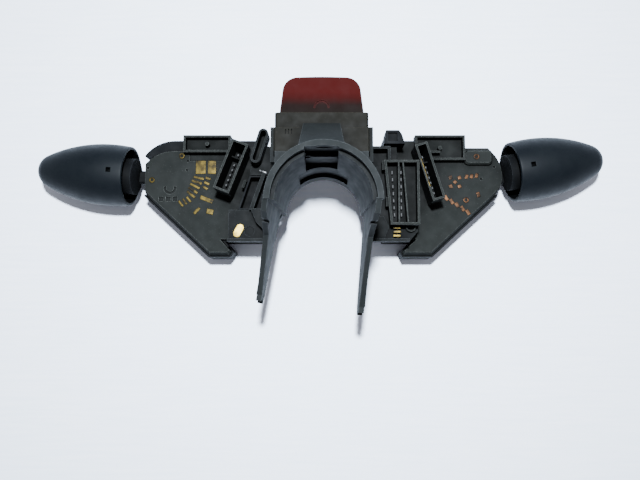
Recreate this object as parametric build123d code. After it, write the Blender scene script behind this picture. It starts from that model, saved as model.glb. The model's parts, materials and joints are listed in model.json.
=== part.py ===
from build123d import *
import os
from math import cos, degrees, atan2, pi, radians, sin, sqrt

# Combination stalk switch. +X right, +Y towards the hazard button, +Z along the column
# towards the dash. The origin is on the column axis at the saddle's driver-side mouth.
# Both stalk modules are described outward (u) from the column axis: u is X on the right
# module and -X on the left one.

# Fits
running_clearance = 0.08
loose_clearance = 0.5
assembly_gap = 0.25
overlap = 0.5

# Column saddle
bore_radius = 24.0
bore_length = 11.0
saddle_wall = 3.6
ridge_radius = 27.2
rim_depth = 5.0
rim_radius = 29.4
rim_wall = 3.4
saddle_length = 74.0
ridge_height = saddle_length - rim_depth
window_width = 19.0
window_offset = -1.2
window_low = 48.0
window_high = 68.0
window_reach = 32.0
cam_slot_width = 30.0
cam_slot_low = 11.0
cam_slot_high = 30.0
cam_slot_radius = 26.4
key_groove_depth = 1.6
bridge_width = 25.6
bridge_taper = 3.7
bridge_top = 49.8

# Legs of the saddle
leg_thickness = 3.2
leg_low = 18.0
leg_tip_depth = 11.0
leg_neck_place = 19.0
leg_neck_depth = 29.0
leg_shoulder = 8.0
leg_root_y = 1.0
leg_flare = 4.6
leg_hook = 5.0
leg_rib_thickness = 0.9
leg_rib_width = 5.0
leg_notch_place = 12.0
leg_notch_width = 1.6
leg_notch_depth = 3.0
left_leg_root_u = 27.2
left_leg_length = 58.8
left_leg_lean = 10.5
right_leg_root_u = 25.7
right_leg_length = 64.9
right_leg_lean = -4.5

# Wings
deck_thickness = 3.0
deck_inner_u = 26.4
deck_bottom_edge = -17.0
deck_step_edge = 4.0
deck_top_edge = 46.0
deck_strip_u = 48.0
deck_strip_edge = 27.0
left_deck_u = 62.0
left_deck_bend_u = 29.2
left_deck_foot_u = 31.2
right_deck_u = 61.2
right_deck_corner_u = 55.3
right_deck_corner_y = -10.0
deck_rib_height = 5.0
deck_rib_thickness = 1.8
left_web_height = 6.0
right_web_height = 3.0
left_web_outer_u = 47.0
left_web_bend_u = 43.3
left_web_bend_y = -4.9
left_web_foot_u = 38.7
left_web_foot_y = -9.4
right_web_inner_u = 33.0
right_web_outer_u = 42.2
right_web_outer_y = -7.2
right_web_top_y = -0.6
right_web_foot_u = 38.8
strut_width = 2.6
strut_foot_u = 48.3
strut_head_u = 40.1
strut_low = 2.6
strut_height = 4.0
loop_u = 41.2
loop_y = 44.0
loop_length = 23.0
loop_width = 6.4
loop_wall = 1.3
loop_top = 14.0
loop_angle = 17.0
fence_top = 10.0
fence_thickness = 1.7
fence_u = 43.2
fence_y = 44.6
well_u = 30.5
well_y = 31.0
well_depth = 2.2
dimple_radius = 3.2
dimple_depth = 0.8

# Screws, from the driver's side through case and lid into the wings
upper_boss_u = 45.0
upper_boss_y = 40.5
left_boss_u = 48.2
right_boss_u = 54.5
lower_boss_y = -10.0
boss_radius = 3.8
screw_radius = 1.6
screw_head_radius = 2.8
screw_head_height = 2.0
screw_head_sink = 0.4
screw_top = 1.6
screw_slot_width = 0.8

# Hazard switch
hazard_x = -1.2
hazard_low = 11.0
hazard_high = 45.0
seat_top = 33.0
seat_bottom = 14.0
body_width = 57.5
body_top = 47.5
collar_width = 55.8
collar_top = 56.6
collar_step = 1.6
hazard_wall = 2.2
hazard_corner = 1.4
catch_thickness = 2.2
catch_reach = 1.1
catch_low = 27.0
catch_high = 35.0
catch_head = 2.4
lamp_slot_width = 0.8
lamp_slot_height = 3.0
lamp_slot_drop = 1.2
lamp_slot_pitch = 1.7
lamp_slot_x = -22.9
button_width = 51.6
button_top_width = 45.0
button_depth = 29.0
button_top = 78.5
button_crown = 0.8
button_corner = 9.0
button_edge = 1.6
button_wall = 1.6
button_roof = 4.8
button_seat = 52.0
button_travel = 4.0
arc_mark_radius = 4.6
arc_mark_width = 0.8
arc_mark_depth = 0.7
arc_mark_place = 3.4
plunger_radius = 3.2
plunger_plate_width = 22.0
plunger_plate_depth = 12.0
plunger_plate_thickness = 2.0
plunger_shoulder = 6.0
shoulder_margin = 1.5
guide_wall = 2.0
guide_height = 8.0
hazard_spring_radius = 4.2
hazard_wire_radius = 0.45
bridge_arm_start = 6.0
bridge_arm_end = 16.0
bridge_arm_half = 2.0
blade_thickness = 0.6
blade_half = 5.0
contact_gap = 1.2
contact_post_spacing = 8.0
contact_post_width = 4.0

# Stalk module case and lid
case_floor = -30.0
floor_thickness = 2.0
module_wall = 2.0
split_level = -19.0
lip_top = -11.5
lip_thickness = 1.0
lid_top = -8.0
lid_thickness = 2.5
edge_slope_width = 2.0
edge_slope_height = 3.6
inner_end = 40.0
module_top = 53.5
module_bottom = -26.0
notch_y = -15.4
foot_corner_y = -22.5
left_notch_u = 66.3
left_foot_u = 60.0
left_foot_inner = 62.6
left_foot_outer = 77.0
left_end_u = 121.2
left_top_band = 7.8
right_notch_u = 58.8
right_foot_u = 50.9
right_foot_inner = 52.5
right_foot_outer = 72.6
right_end_radius = 25.0
right_end_half = 14.0
right_top_band = 1.2
shoulder_drop = 5.0
mouth_start = 110.0
mouth_low = 16.5
mouth_high = 42.5

# Stalk pivot, carrier and detent
pivot_u = 96.0
pivot_y = 29.0
hub_radius = 8.0
journal_radius = 2.5
carrier_low = -27.6
carrier_high = -14.4
journal_length = 2.0
journal_boss_radius = 5.0
fork_inner = 4.9
fork_outer = 8.0
fork_reach = 16.5
fork_lift = 1.6
tilt_pin_offset = 12.5
tilt_pin_radius = 1.5
tail_length = 16.0
tail_half_width = 4.5
detent_axis_z = -19.5
plunger_nose_radius = 1.6
plunger_nose_length = 1.4
plunger_length = 7.0
detent_bore_depth = 13.0
detent_radius = 20.4
detent_thickness = 3.2
detent_half_width = 11.0
detent_dip_radius = 1.8
detent_engagement = 0.4
detent_wire_radius = 0.3
left_detent_step = 9.0
right_detent_step = 6.0
wiper_thickness = 0.4
wiper_length = 7.0
wiper_width = 7.2
wiper_pitch = 2.6
finger_width = 1.2
finger_height = 2.2

# Lever
lever_half_width = 4.4
lever_low = -24.0
lever_high = -14.0
lever_corner = 1.2
lever_back_gap = 1.0
collar_radius = 12.0
collar_start = -3.4
flange_radius = 16.2
flange_start = 7.0
flange_thickness = 3.0
spindle_radius = 4.0
spindle_end = 48.0

# Barrel: a long side arc runs into a nose arc; lengths are from its open mouth
girth_radius = 20.8
girth_place = 13.9
side_arc_radius = 95.6
nose_arc_radius = 11.8
side_runs = 5
nose_runs = 4
barrel_wall = 2.0
hollow_steps = (28.0, 42.0, 51.0)
hub_places = (24.0, 44.0)
hub_thickness = 2.4
clip_window_place = 8.2
clip_window_size = 3.0
barrel_axis_z = -7.8
barrel_droop = 3.0
left_mouth_u = 129.1
left_mouth_y = 28.1
left_barrel_angle = 4.4
right_mouth_u = 125.6
right_mouth_y = 30.9
right_barrel_angle = 8.7

# Light switch in the left barrel
light_board_thickness = 1.4
light_board_width = 18.0
rotor_gap = 1.0
rotor_thickness = 2.0
rotor_length = 24.0
rotor_width = 6.0
rotor_sleeve_radius = 6.5

# Sockets and pockets on the lids
socket_rim = 13.0
socket_wall = 1.3
left_socket_width = 11.0
left_socket_length = 34.0
left_socket_u = 59.6
left_socket_y = 31.0
left_socket_angle = 21.0
right_socket_width = 8.2
right_socket_length = 38.0
right_socket_u = 68.1
right_socket_y = 27.7
right_socket_angle = 17.0
socket_tongue_place = 8.0
socket_tongue_top = 1.0
pin_height = 5.0
pin_width = 0.9
pin_pitch = 3.6
pin_row_spacing = 2.8
pin_margin = 2.0
socket_blade_length = 19.0
socket_blade_thickness = 0.5
pocket_rim = -2.0
pocket_wall = 1.4
pocket_top = 55.0
pocket_post_radius = 1.3
key_post_u = 52.4
key_post_y = 21.6
key_post_length = 5.4
key_post_width = 1.8
key_post_top = 0.5
left_pocket_low = 43.5
left_pocket_inner = 62.0
left_pocket_outer = 93.5
right_pocket_low = 38.2
right_pocket_inner = 60.9
right_pocket_outer = 94.2
guide_block_u = 103.5
guide_block_y = 40.8
guide_block_length = 19.0
guide_block_width = 10.0
guide_block_corner = 3.0
guide_block_height = 4.0
guide_block_slope = 1.2

# Marks in the lids
mark_depth = 1.0
left_hole_places = ((91.4, 38.8), (92.0, 32.6), (118.2, 34.0))
right_hole_places = ((114.6, 34.7), (105.7, 26.5))
groove_u = 103.1
groove_y = 20.4
groove_radius = 3.4
groove_width = 1.6
slot_u = 98.0
slot_y = 11.5
slot_pitch = 4.6
slot_width = 3.2
slot_height = 3.0
recess_height = 4.8

# Contact pads and eyelets
pad_height = 0.25
# Rows of equal pads: first place, step, count, size, angle and the extra turn at each step
left_pad_rows = (
    ((82.7, 34.4), (0.0, 0.0), 1, (6.6, 9.0), 0.0, 0.0),
    ((75.2, 34.4), (0.0, 0.0), 1, (5.4, 9.0), 0.0, 0.0),
    ((84.0, 27.2), (1.2, -2.8), 5, (7.0, 1.6), 12.0, 7.0),
    ((77.6, 26.8), (0.9, -3.2), 3, (3.6, 1.6), 18.0, 7.0),
    ((90.4, 12.6), (2.6, -1.4), 3, (1.4, 4.6), -38.0, 0.0),
    ((78.4, 12.6), (0.0, 0.0), 1, (9.0, 2.6), 22.0, 0.0),
    ((84.8, 5.0), (0.0, 0.0), 1, (1.8, 5.4), 42.0, 0.0),
    ((76.0, 4.4), (0.0, 0.0), 1, (4.4, 3.4), 12.0, 0.0),
)
right_pad_rows = (
    ((96.0, 28.0), (3.4, 0.4), 3, (2.0, 3.0), -15.0, 0.0),
    ((82.0, 13.6), (3.6, -2.4), 5, (2.2, 3.8), 32.0, 0.0),
    ((103.6, 15.8), (0.0, 0.0), 1, (2.2, 3.4), 15.0, 0.0),
)
star_u = 88.2
star_y = 24.4
star_reach = 3.0
star_pad = 2.3
star_lean = 20.0
eyelet_radius = 1.9
eyelet_bore = 0.9
eyelet_height = 0.5
left_eyelet_places = ((95.5, 42.2), (115.3, 25.8))
right_eyelet_place = (95.3, 12.2)
block_eyelet_shift = 1.5
oval_pad_u = 55.3
oval_pad_y = -9.6
oval_pad_length = 9.0
oval_pad_width = 4.8
oval_pad_angle = 28.0

# Main connector
connector_inner_low = 42.7
connector_inner_high = 38.7
connector_outer = 61.2
connector_low = -6.8
connector_high = 34.8
connector_rim = 13.0
connector_wall = 1.4
connector_rib = 0.8
connector_rib_u = 48.0
slant_rib_u = 52.3
slant_rib_angle = 4.4
lug_width = 1.6
lug_length = 6.0
lug_places = (5.2, 28.8)
lug_drop = 2.0
blade_height = 2.6
blade_width = 2.2
blade_pitch = 4.6
terminal_u = 47.3
terminal_y = -13.2
terminal_length = 4.6
terminal_width = 1.4
terminal_height = 3.0
terminal_pitch = 2.6

# Terminal box under the left wing, and the plug beside the right one
box_floor = 1.0
box_wall = 1.0
box_top = 2.0
box_inner_u = 30.2
box_outer_low_u = 56.0
box_outer_high_u = 48.5
plug_inner_u = 39.0
plug_outer_u = 52.6
plug_low = 46.3
plug_top_edge = 55.2
plug_top_inner_u = 40.4
plug_top_outer_u = 48.8
plug_bend_u = 50.7
plug_bend_y = 52.6
plug_height = 18.0
plug_hollow_depth = 2.0
plug_hollow_inner_u = 41.6
plug_hollow_outer_u = 47.8
plug_hollow_wall = 1.6

# Turn-cancel pawl
pawl_u = 50.0
pawl_y = 22.0
pawl_low = -25.0
pawl_high = -21.0
pawl_post_radius = 1.5
pawl_eye_radius = 3.4
pawl_nose_u = 29.0
pawl_nose_radius = 1.8
pawl_tail = 8.0
pawl_width = 4.0
pawl_slot_half = 5.5
pawl_wire_radius = 0.35
pawl_coil_radius = 1.4
pawl_spring_length = 7.0
spring_stop_width = 6.0
spring_stop_thickness = 2.0

coil_sides = 8


def span(x0, x1, y0, y1, z0, z1):
    """Block between two corners."""
    corner = Location((min(x0, x1), min(y0, y1), min(z0, z1)))
    block = Box(abs(x1 - x0), abs(y1 - y0), abs(z1 - z0), align=(Align.MIN,) * 3)
    return corner * block


def rod(x, y, z0, z1, radius):
    """Cylinder along Z."""
    rod_solid = Cylinder(radius, z1 - z0, align=(Align.CENTER, Align.CENTER, Align.MIN))
    return Location((x, y, z0)) * rod_solid


def rod_between(start, end, radius):
    """Cylinder from one point to another."""
    direction = Vector(*end) - Vector(*start)
    plane = Plane(origin=start, z_dir=direction)
    align = (Align.CENTER, Align.CENTER, Align.MIN)
    return plane * Cylinder(radius, direction.length, align=align)


def prism(corners, z0, z1):
    """Upright solid over a plan with these corners."""
    face = make_face(Polyline(*corners, close=True))
    return Location((0, 0, z0)) * extrude(face, z1 - z0, dir=(0, 0, 1))


def sided(shape, side):
    """The right-hand shape as it is, or mirrored for the left."""
    return mirror(shape, about=Plane.YZ) if side == "left" else shape


def coil(start, end, radius, wire, turns):
    """Coil spring between two points, its helix drawn as short straight runs."""
    direction = Vector(*end) - Vector(*start)
    length = direction.length - 2 * wire
    steps = turns * coil_sides
    points = []
    for index in range(steps + 1):
        angle = 2 * pi * index / coil_sides
        points.append((radius * cos(angle), radius * sin(angle), length * index / steps))
    path = Polyline(*points)
    section = Plane(origin=path @ 0, z_dir=path % 0) * RegularPolygon(wire, 6)
    spring = sweep(section, path=path, transition=Transition.RIGHT)
    return Plane(origin=Vector(*start) + direction.normalized() * wire, z_dir=direction) * spring


# Column bracket


def saddle_ring():
    outer = bore_radius + saddle_wall
    profile = [
        (bore_radius, 0),
        (bore_radius, bore_length),
        (ridge_radius, ridge_height),
        (rim_radius, ridge_height),
        (rim_radius, saddle_length),
        (rim_radius + rim_wall, saddle_length),
        (rim_radius + rim_wall, ridge_height),
        (ridge_radius + saddle_wall, ridge_height - rim_wall),
        (outer, 0),
    ]
    face = make_face(Plane.XZ * Polyline(*profile, close=True))
    return revolve(face, Axis.Z, 180)


def leg(side, root_u, length, lean):
    """Plate below the ring that tapers to a hooked tip, with a rib and a notch on its outer face."""
    sign = -1 if side == "left" else 1
    origin = Vector(sign * root_u, leg_root_y, 0)
    # A positive lean carries the tip outward, away from the column.
    down = Vector(sign * sin(radians(lean)), -cos(radians(lean)), 0)
    up = Vector(sign * leg_flare, 0, saddle_length).normalized()
    plane = Plane(origin=origin, x_dir=down, z_dir=down.cross(up))
    tip_top = leg_low + leg_tip_depth
    hook_start = length - leg_hook
    hook_rise = leg_hook * 0.6
    outline = [
        (0, leg_low),
        (hook_start, leg_low),
        (length, leg_low + hook_rise),
        (length - hook_rise, leg_low + leg_hook),
        (length - hook_rise / 2, tip_top),
        (hook_start, tip_top),
        (leg_neck_place, leg_low + leg_neck_depth),
        (leg_shoulder, saddle_length - leg_shoulder / 2),
        (0, saddle_length),
    ]
    plate = extrude(plane * make_face(Polyline(*outline, close=True)), leg_thickness / 2, both=True)
    tip_rib = leg_low + (leg_tip_depth - leg_rib_width) / 2
    neck_rib = leg_low + (leg_neck_depth - leg_rib_width) / 2
    rib_outline = [
        (leg_shoulder, neck_rib),
        (hook_start, tip_rib),
        (hook_start, tip_rib + leg_rib_width),
        (leg_shoulder, neck_rib + leg_rib_width),
    ]
    rib_depth = leg_thickness / 2 + leg_rib_thickness
    rib = extrude(plane * make_face(Polyline(*rib_outline, close=True)), rib_depth, both=True)
    inner_reach = Vector(-sign * 2 * leg_thickness, 0, 0)
    inner_face = plane * make_face(Polyline(*outline, close=True))
    inner_half = extrude(inner_face, 4 * leg_thickness, dir=inner_reach)
    notch_place = Location((leg_notch_place, saddle_length - leg_notch_depth - leg_shoulder, 0))
    notch = Box(leg_notch_width, 6 * leg_notch_depth, 4 * leg_thickness)
    return plate + (rib - inner_half) - plane * notch_place * notch


def saddle_cuts():
    left, right = window_offset - window_width / 2, window_offset + window_width / 2
    window = span(left, right, bore_radius, window_reach, window_low, window_high)
    half_slot = cam_slot_width / 2
    groove_top = ridge_radius + key_groove_depth
    groove = span(left, right, 0, groove_top, cam_slot_high, saddle_length + overlap)
    slot = rod(0, 0, cam_slot_low, cam_slot_high, cam_slot_radius)
    slot &= span(-half_slot, half_slot, 0, ridge_radius, cam_slot_low, cam_slot_high)
    return window + groove + slot


def front_bridge():
    """Sloping web from the rim back to the hazard housing, narrower towards the housing."""
    side_view = [(rim_radius, saddle_length), (bridge_top, hazard_high), (rim_radius, hazard_high)]
    slope = extrude(Plane.YZ * make_face(Polyline(*side_view, close=True)), bridge_width, both=True)
    half, back_half = bridge_width / 2, (bridge_width - bridge_taper) / 2
    front_view = [
        (window_offset - half, saddle_length),
        (window_offset + half, saddle_length),
        (window_offset + back_half, hazard_high),
        (window_offset - back_half, hazard_high),
    ]
    taper = extrude(Plane.XZ * make_face(Polyline(*front_view, close=True)), 2 * body_top, both=True)
    return slope & taper


def boss_places(side):
    """Centres of the two screws that hold a module under its wing."""
    lower_u = left_boss_u if side == "left" else right_boss_u
    return ((upper_boss_u, upper_boss_y), (lower_u, lower_boss_y))


def deck_rib(inner, outer):
    low = deck_bottom_edge
    return span(inner, outer, low, low + deck_rib_thickness, 0, deck_thickness + deck_rib_height)


def left_wing():
    """Lower deck, an upper strip, the strut between them over the terminal box, and an oval loop."""
    # Below the ring the inner edge draws back behind the leg.
    inner_edge = [(left_deck_bend_u, left_web_bend_y), (deck_inner_u, 0), (deck_inner_u, deck_step_edge)]
    deck = [
        (left_deck_u, deck_step_edge),
        (left_deck_u, deck_bottom_edge),
        (left_deck_foot_u, deck_bottom_edge),
    ]
    wing = prism(deck + inner_edge, 0, deck_thickness)
    wing += deck_rib(left_deck_foot_u, left_deck_u)
    wing += span(deck_inner_u, deck_strip_u, deck_strip_edge, deck_top_edge, 0, deck_thickness)
    web = [
        (left_web_outer_u, deck_step_edge),
        (left_web_bend_u, left_web_bend_y),
        (left_web_foot_u, left_web_foot_y),
        (left_deck_foot_u, left_web_foot_y),
    ]
    wing += prism(web + inner_edge, deck_thickness - overlap, deck_thickness + left_web_height)
    strut = [
        (strut_foot_u - strut_width, deck_step_edge - overlap),
        (strut_foot_u, deck_step_edge - overlap),
        (strut_head_u, deck_strip_edge + overlap),
        (strut_head_u - strut_width, deck_strip_edge + overlap),
    ]
    wing += prism(strut, strut_low, strut_low + strut_height)
    loop_place = Location((loop_u, loop_y, 0), (0, 0, 90 + loop_angle))
    loop = extrude(SlotOverall(loop_length, loop_width), loop_top)
    inner = SlotOverall(loop_length - 2 * loop_wall, loop_width - 2 * loop_wall)
    loop -= Location((0, 0, deck_thickness)) * extrude(inner, loop_top)
    wing += loop_place * loop
    wing -= rod(left_boss_u, lower_boss_y, deck_thickness - dimple_depth, deck_thickness + 1, dimple_radius)
    return wing


def right_wing():
    """Deck under the main connector, a fence at its upper corner and a web beside the leg."""
    corners = [
        (deck_inner_u, deck_bottom_edge),
        (right_deck_corner_u, deck_bottom_edge),
        (right_deck_u, right_deck_corner_y),
        (right_deck_u, connector_high),
        (deck_strip_u, connector_high),
        (deck_strip_u, deck_top_edge),
        (deck_inner_u, deck_top_edge),
    ]
    wing = prism(corners, 0, deck_thickness) + deck_rib(deck_inner_u, right_deck_corner_u)
    web = [
        (right_web_inner_u, right_web_top_y),
        (right_web_foot_u, right_web_top_y),
        (right_web_outer_u, right_web_outer_y),
        (right_web_foot_u, deck_bottom_edge),
        (right_web_inner_u, deck_bottom_edge),
    ]
    wing += prism(web, deck_thickness - overlap, deck_thickness + right_web_height)
    inside_u, inside_y = fence_u - fence_thickness, fence_y - fence_thickness
    fence = span(deck_inner_u, fence_u, inside_y, fence_y, 0, fence_top)
    fence += span(inside_u, fence_u, connector_high + assembly_gap, fence_y, 0, fence_top)
    well = [(well_u, well_y), (well_u, inside_y), (inside_u, inside_y), (inside_u, connector_high)]
    well_floor = deck_thickness - well_depth
    return wing + fence - prism(well, well_floor, deck_thickness + 1)


def wing(side):
    """One wing with its screw bosses, which stand on the lid."""
    deck = left_wing() if side == "left" else right_wing()
    for u, y in boss_places(side):
        deck += rod(u, y, lid_top, deck_thickness - dimple_depth, boss_radius)
        deck -= rod(u, y, lid_top - 1, screw_top + assembly_gap, screw_radius + running_clearance)
    return sided(deck, side)


def housing_catches():
    """Two sprung arms beside the hazard housing whose heads hook over its shoulder."""
    catches = Part()
    for sign in (-1, 1):
        face = hazard_x + sign * (body_width / 2 + assembly_gap)
        outer = face + sign * catch_thickness
        top = body_top + assembly_gap + catch_head
        catches += span(face, outer, seat_top - hazard_wall, top, catch_low, catch_high)
        inner = face - sign * catch_reach
        catches += span(inner, outer, body_top + assembly_gap, top, catch_low, catch_high)
        root = hazard_x + sign * (body_width / 2 - 2)
        foot_low, foot_high = seat_top - 2 * hazard_wall, seat_top - assembly_gap
        catches += span(root, outer, foot_low, foot_high, catch_low, catch_high)
    return catches


def column_bracket():
    bore = rod(0, 0, -1, bore_length + 1, bore_radius)
    half = body_width / 2 - 1
    seat = span(hazard_x - half, hazard_x + half, seat_bottom, seat_top, hazard_low, hazard_high)
    core = rod(0, 0, hazard_low - 1, hazard_high + 1, ridge_radius)
    body = saddle_ring() + wing("left") + wing("right") + (seat - core) + front_bridge()
    body += leg("left", left_leg_root_u, left_leg_length, left_leg_lean)
    body += leg("right", right_leg_root_u, right_leg_length, right_leg_lean)
    return body + housing_catches() - saddle_cuts() - bore


def bracket_screws():
    """Slotted screws up through case and lid."""
    screws = []
    low = case_floor + screw_head_sink
    for side in ("left", "right"):
        for u, y in boss_places(side):
            screw = rod(u, y, low, low + screw_head_height, screw_head_radius)
            screw += rod(u, y, low, screw_top, screw_radius)
            half = screw_slot_width / 2
            screw -= span(u - half, u + half, y - boss_radius, y + boss_radius, low - 1, low + 1)
            screws.append(sided(screw, side))
    return Compound(children=screws)


# Hazard switch


def hazard_mid():
    return (hazard_low + hazard_high) / 2


def hazard_block(width, depth, y0, y1):
    half, mid = depth / 2, hazard_mid()
    return span(hazard_x - width / 2, hazard_x + width / 2, y0, y1, mid - half, mid + half)


def hazard_rod(y0, y1, radius):
    """Cylinder on the button's line of travel."""
    return rod_between((hazard_x, y0, hazard_mid()), (hazard_x, y1, hazard_mid()), radius)


def housing_floor():
    return seat_top + hazard_wall


def button_ceiling():
    """Level of the roof inside the button."""
    return button_top - button_roof


def plunger_foot():
    """Underside of the plunger's shoulder, where its spring pushes."""
    return button_ceiling() - running_clearance - plunger_plate_thickness - plunger_shoulder


def hazard_housing():
    """Box on the saddle with a collar that the button slides in."""
    depth = hazard_high - hazard_low
    shell = hazard_block(body_width, depth, seat_top, body_top)
    shell += hazard_block(collar_width, depth - collar_step, body_top, collar_top)
    shell = chamfer(shell.edges().filter_by(Axis.Y), hazard_corner)
    room = 2 * loose_clearance
    shell -= hazard_block(button_width + room, button_depth + room, housing_floor(), collar_top + 1)
    guide_top = housing_floor() + guide_height
    bore_radius_here = plunger_radius + running_clearance
    shell += hazard_rod(housing_floor() - overlap, guide_top, bore_radius_here + guide_wall)
    shell -= hazard_rod(housing_floor() - overlap, guide_top + 1, bore_radius_here)
    for index in range(3):
        x = lamp_slot_x + index * lamp_slot_pitch
        top = body_top - lamp_slot_drop
        shell -= span(x, x + lamp_slot_width, top - lamp_slot_height, top, hazard_high - 1, hazard_high + 1)
    return shell


def button_profile(inset, low, high):
    """Front view of the cap: sides draw in towards a crowned top with round corners."""
    half_low = button_width / 2 - inset
    half_high = button_top_width / 2 - inset
    left, right = (hazard_x - half_high, high), (hazard_x + half_high, high)
    crown = ThreePointArc(left, (hazard_x, high + button_crown), right)
    sides = Polyline(right, (hazard_x + half_low, low), (hazard_x - half_low, low), left)
    face = make_face([crown, sides])
    top_corners = face.vertices().sort_by(Axis.Y)[-2:]
    return fillet(top_corners, button_corner - inset)


def hazard_button():
    """Cap with a soft edge all round, open towards the housing, and a raised-arc mark cut in its face."""
    half = button_depth / 2
    cap = extrude(button_profile(0, button_seat, button_top), half, both=True)
    front_and_back = cap.faces().filter_by(Axis.Z).edges()
    cap = chamfer([edge for edge in front_and_back if edge.center().Y > button_seat + 1], button_edge / 2)
    inner_profile = button_profile(button_wall, button_seat - 1, button_ceiling())
    hollow = extrude(inner_profile, half - button_wall, both=True)
    mark_y = collar_top + arc_mark_place
    ring = rod(hazard_x, mark_y, half - arc_mark_depth, half + 1, arc_mark_radius)
    ring -= rod(hazard_x, mark_y, half - 1, half + 2, arc_mark_radius - arc_mark_width)
    reach = 2 * arc_mark_radius
    upper = span(hazard_x - reach, hazard_x + reach, mark_y, mark_y + reach, half - 1, half + 2)
    return Location((0, 0, hazard_mid())) * (cap - hollow - (ring & upper))


def hazard_plunger():
    """Stem that hangs from the cap's roof and runs in the housing's guide."""
    roof = button_ceiling() - running_clearance
    foot = housing_floor() + button_travel + assembly_gap
    stem = hazard_rod(foot, roof, plunger_radius)
    plate_low = roof - plunger_plate_thickness
    plate = hazard_block(plunger_plate_width, plunger_plate_depth, plate_low, roof)
    shoulder = hazard_rod(plunger_foot(), plate_low, hazard_spring_radius + shoulder_margin)
    arm_top = plunger_foot() + plunger_plate_thickness
    start, mid = hazard_x + plunger_radius / 2, hazard_mid()
    arm_end = hazard_x + bridge_arm_end
    arm = span(start, arm_end, plunger_foot(), arm_top, mid - bridge_arm_half, mid + bridge_arm_half)
    return stem + plate + shoulder + arm


def hazard_bridge():
    """Contact blade under the plunger's arm."""
    start, end = hazard_x + bridge_arm_start + 1, hazard_x + bridge_arm_end - overlap
    low, mid = plunger_foot() - blade_thickness, hazard_mid()
    return span(start, end, low, plunger_foot(), mid - blade_half, mid + blade_half)


def hazard_contacts():
    """Two posts that the blade joins when the button is in."""
    top = plunger_foot() - blade_thickness - button_travel - contact_gap
    middle = hazard_x + (bridge_arm_start + bridge_arm_end) / 2 + 1
    half = contact_post_width / 2
    posts = []
    for sign in (-1, 1):
        z = hazard_mid() + sign * contact_post_spacing / 2
        z0, z1 = z - blade_thickness, z + blade_thickness
        posts.append(span(middle - half, middle + half, housing_floor(), top, z0, z1))
    return Compound(children=posts)


def hazard_spring():
    start = (hazard_x, housing_floor() + guide_height, hazard_mid())
    end = (hazard_x, plunger_foot(), hazard_mid())
    return coil(start, end, hazard_spring_radius, hazard_wire_radius, 5)


# Stalk modules


def module_outline(side):
    """Plan of the case: a triangle with a foot, and an end that the stalk leaves through."""
    if side == "left":
        notch_u, foot_u = left_notch_u, left_foot_u
        foot_inner, foot_outer = left_foot_inner, left_foot_outer
        end_low, end_high = (left_end_u, mouth_low - 1), (left_end_u, mouth_high + 1)
        end = Line(end_low, end_high)
        shoulder = (left_end_u - 4 * shoulder_drop, module_top)
        bend = (left_end_u - 1.6 * shoulder_drop, module_top - 0.64 * shoulder_drop)
        rest = [ThreePointArc(end_high, bend, shoulder), Line(shoulder, (inner_end, module_top))]
    else:
        notch_u, foot_u = right_notch_u, right_foot_u
        foot_inner, foot_outer = right_foot_inner, right_foot_outer
        end_u = pivot_u + sqrt(right_end_radius**2 - right_end_half**2)
        end_low, end_high = (end_u, pivot_y - right_end_half), (end_u, pivot_y + right_end_half)
        end = ThreePointArc(end_low, (pivot_u + right_end_radius, pivot_y), end_high)
        low_edge = module_top - shoulder_drop
        rest = [
            Polyline(
                end_high,
                (end_u - shoulder_drop, low_edge),
                (right_pocket_outer, low_edge),
                (right_pocket_outer, module_top),
                (inner_end, module_top),
            )
        ]
    slope_end = (end_low[0] - shoulder_drop, end_low[1] - shoulder_drop)
    foot = Polyline(
        (inner_end, module_top),
        (inner_end, notch_y),
        (notch_u, notch_y),
        (foot_u, foot_corner_y),
        (foot_inner, module_bottom),
        (foot_outer, module_bottom),
        slope_end,
        end_low,
    )
    return make_face([foot, end] + rest)


def layer(side, z0, z1, inset=0.0):
    """Slab of the module's plan between two levels, drawn in from the edge."""
    face = module_outline(side)
    if inset:
        face = offset(face, -inset, kind=Kind.INTERSECTION)
    return Location((0, 0, z0)) * extrude(face, z1 - z0, dir=(0, 0, 1))


def lid_layer(side, z0, z1, gap, inset=0.0):
    """Slab of the lid's plan, inside the case's lip and short of the band along its upper edge."""
    band = left_top_band if side == "left" else right_top_band
    upper_edge = Location((0, -band, 0)) * layer(side, z0, z1, gap + inset)
    below = span(0, 2 * left_end_u, 2 * module_bottom, pivot_y, z0, z1)
    return layer(side, z0, z1, lip_thickness + gap + inset) & (upper_edge + below)


def mouth(z0, z1):
    return span(mouth_start, left_end_u + 5, mouth_low, mouth_high, z0, z1)


def module_case(side):
    """Tray with the pivot bearing, screw tubes and a lip that the lid drops into."""
    inner_floor = case_floor + floor_thickness
    tray = layer(side, case_floor, lip_top) - lid_layer(side, split_level, lip_top + 1, 0)
    tray -= layer(side, inner_floor, split_level + 1, module_wall)
    for u, y in boss_places(side):
        head_top = case_floor + screw_head_sink + screw_head_height + running_clearance
        tray += rod(u, y, case_floor, split_level, boss_radius)
        tray -= rod(u, y, case_floor - 1, head_top, screw_head_radius + running_clearance)
        tray -= rod(u, y, case_floor, split_level + 1, screw_radius + running_clearance)
    tray -= mouth(inner_floor, lip_top + 1)
    tray -= rod(pivot_u, pivot_y, case_floor - 1, inner_floor + 1, journal_radius + running_clearance)
    if side == "left":
        tray += rod(pawl_u, pawl_y, inner_floor - overlap, pawl_high + running_clearance, pawl_post_radius)
        wall_end = inner_end + module_wall + 1
        y0, y1 = pawl_y - pawl_slot_half, pawl_y + pawl_slot_half
        z0, z1 = pawl_low - loose_clearance, pawl_high + loose_clearance
        tray -= span(inner_end - 1, wall_end, y0, y1, z0, z1)
        tray += spring_stop()
    return sided(tray, side)


def socket_place(side):
    """Centre, size and lean of a lid's connector shroud."""
    if side == "left":
        return left_socket_u, left_socket_y, left_socket_width, left_socket_length, left_socket_angle
    return right_socket_u, right_socket_y, right_socket_width, right_socket_length, right_socket_angle


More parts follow.
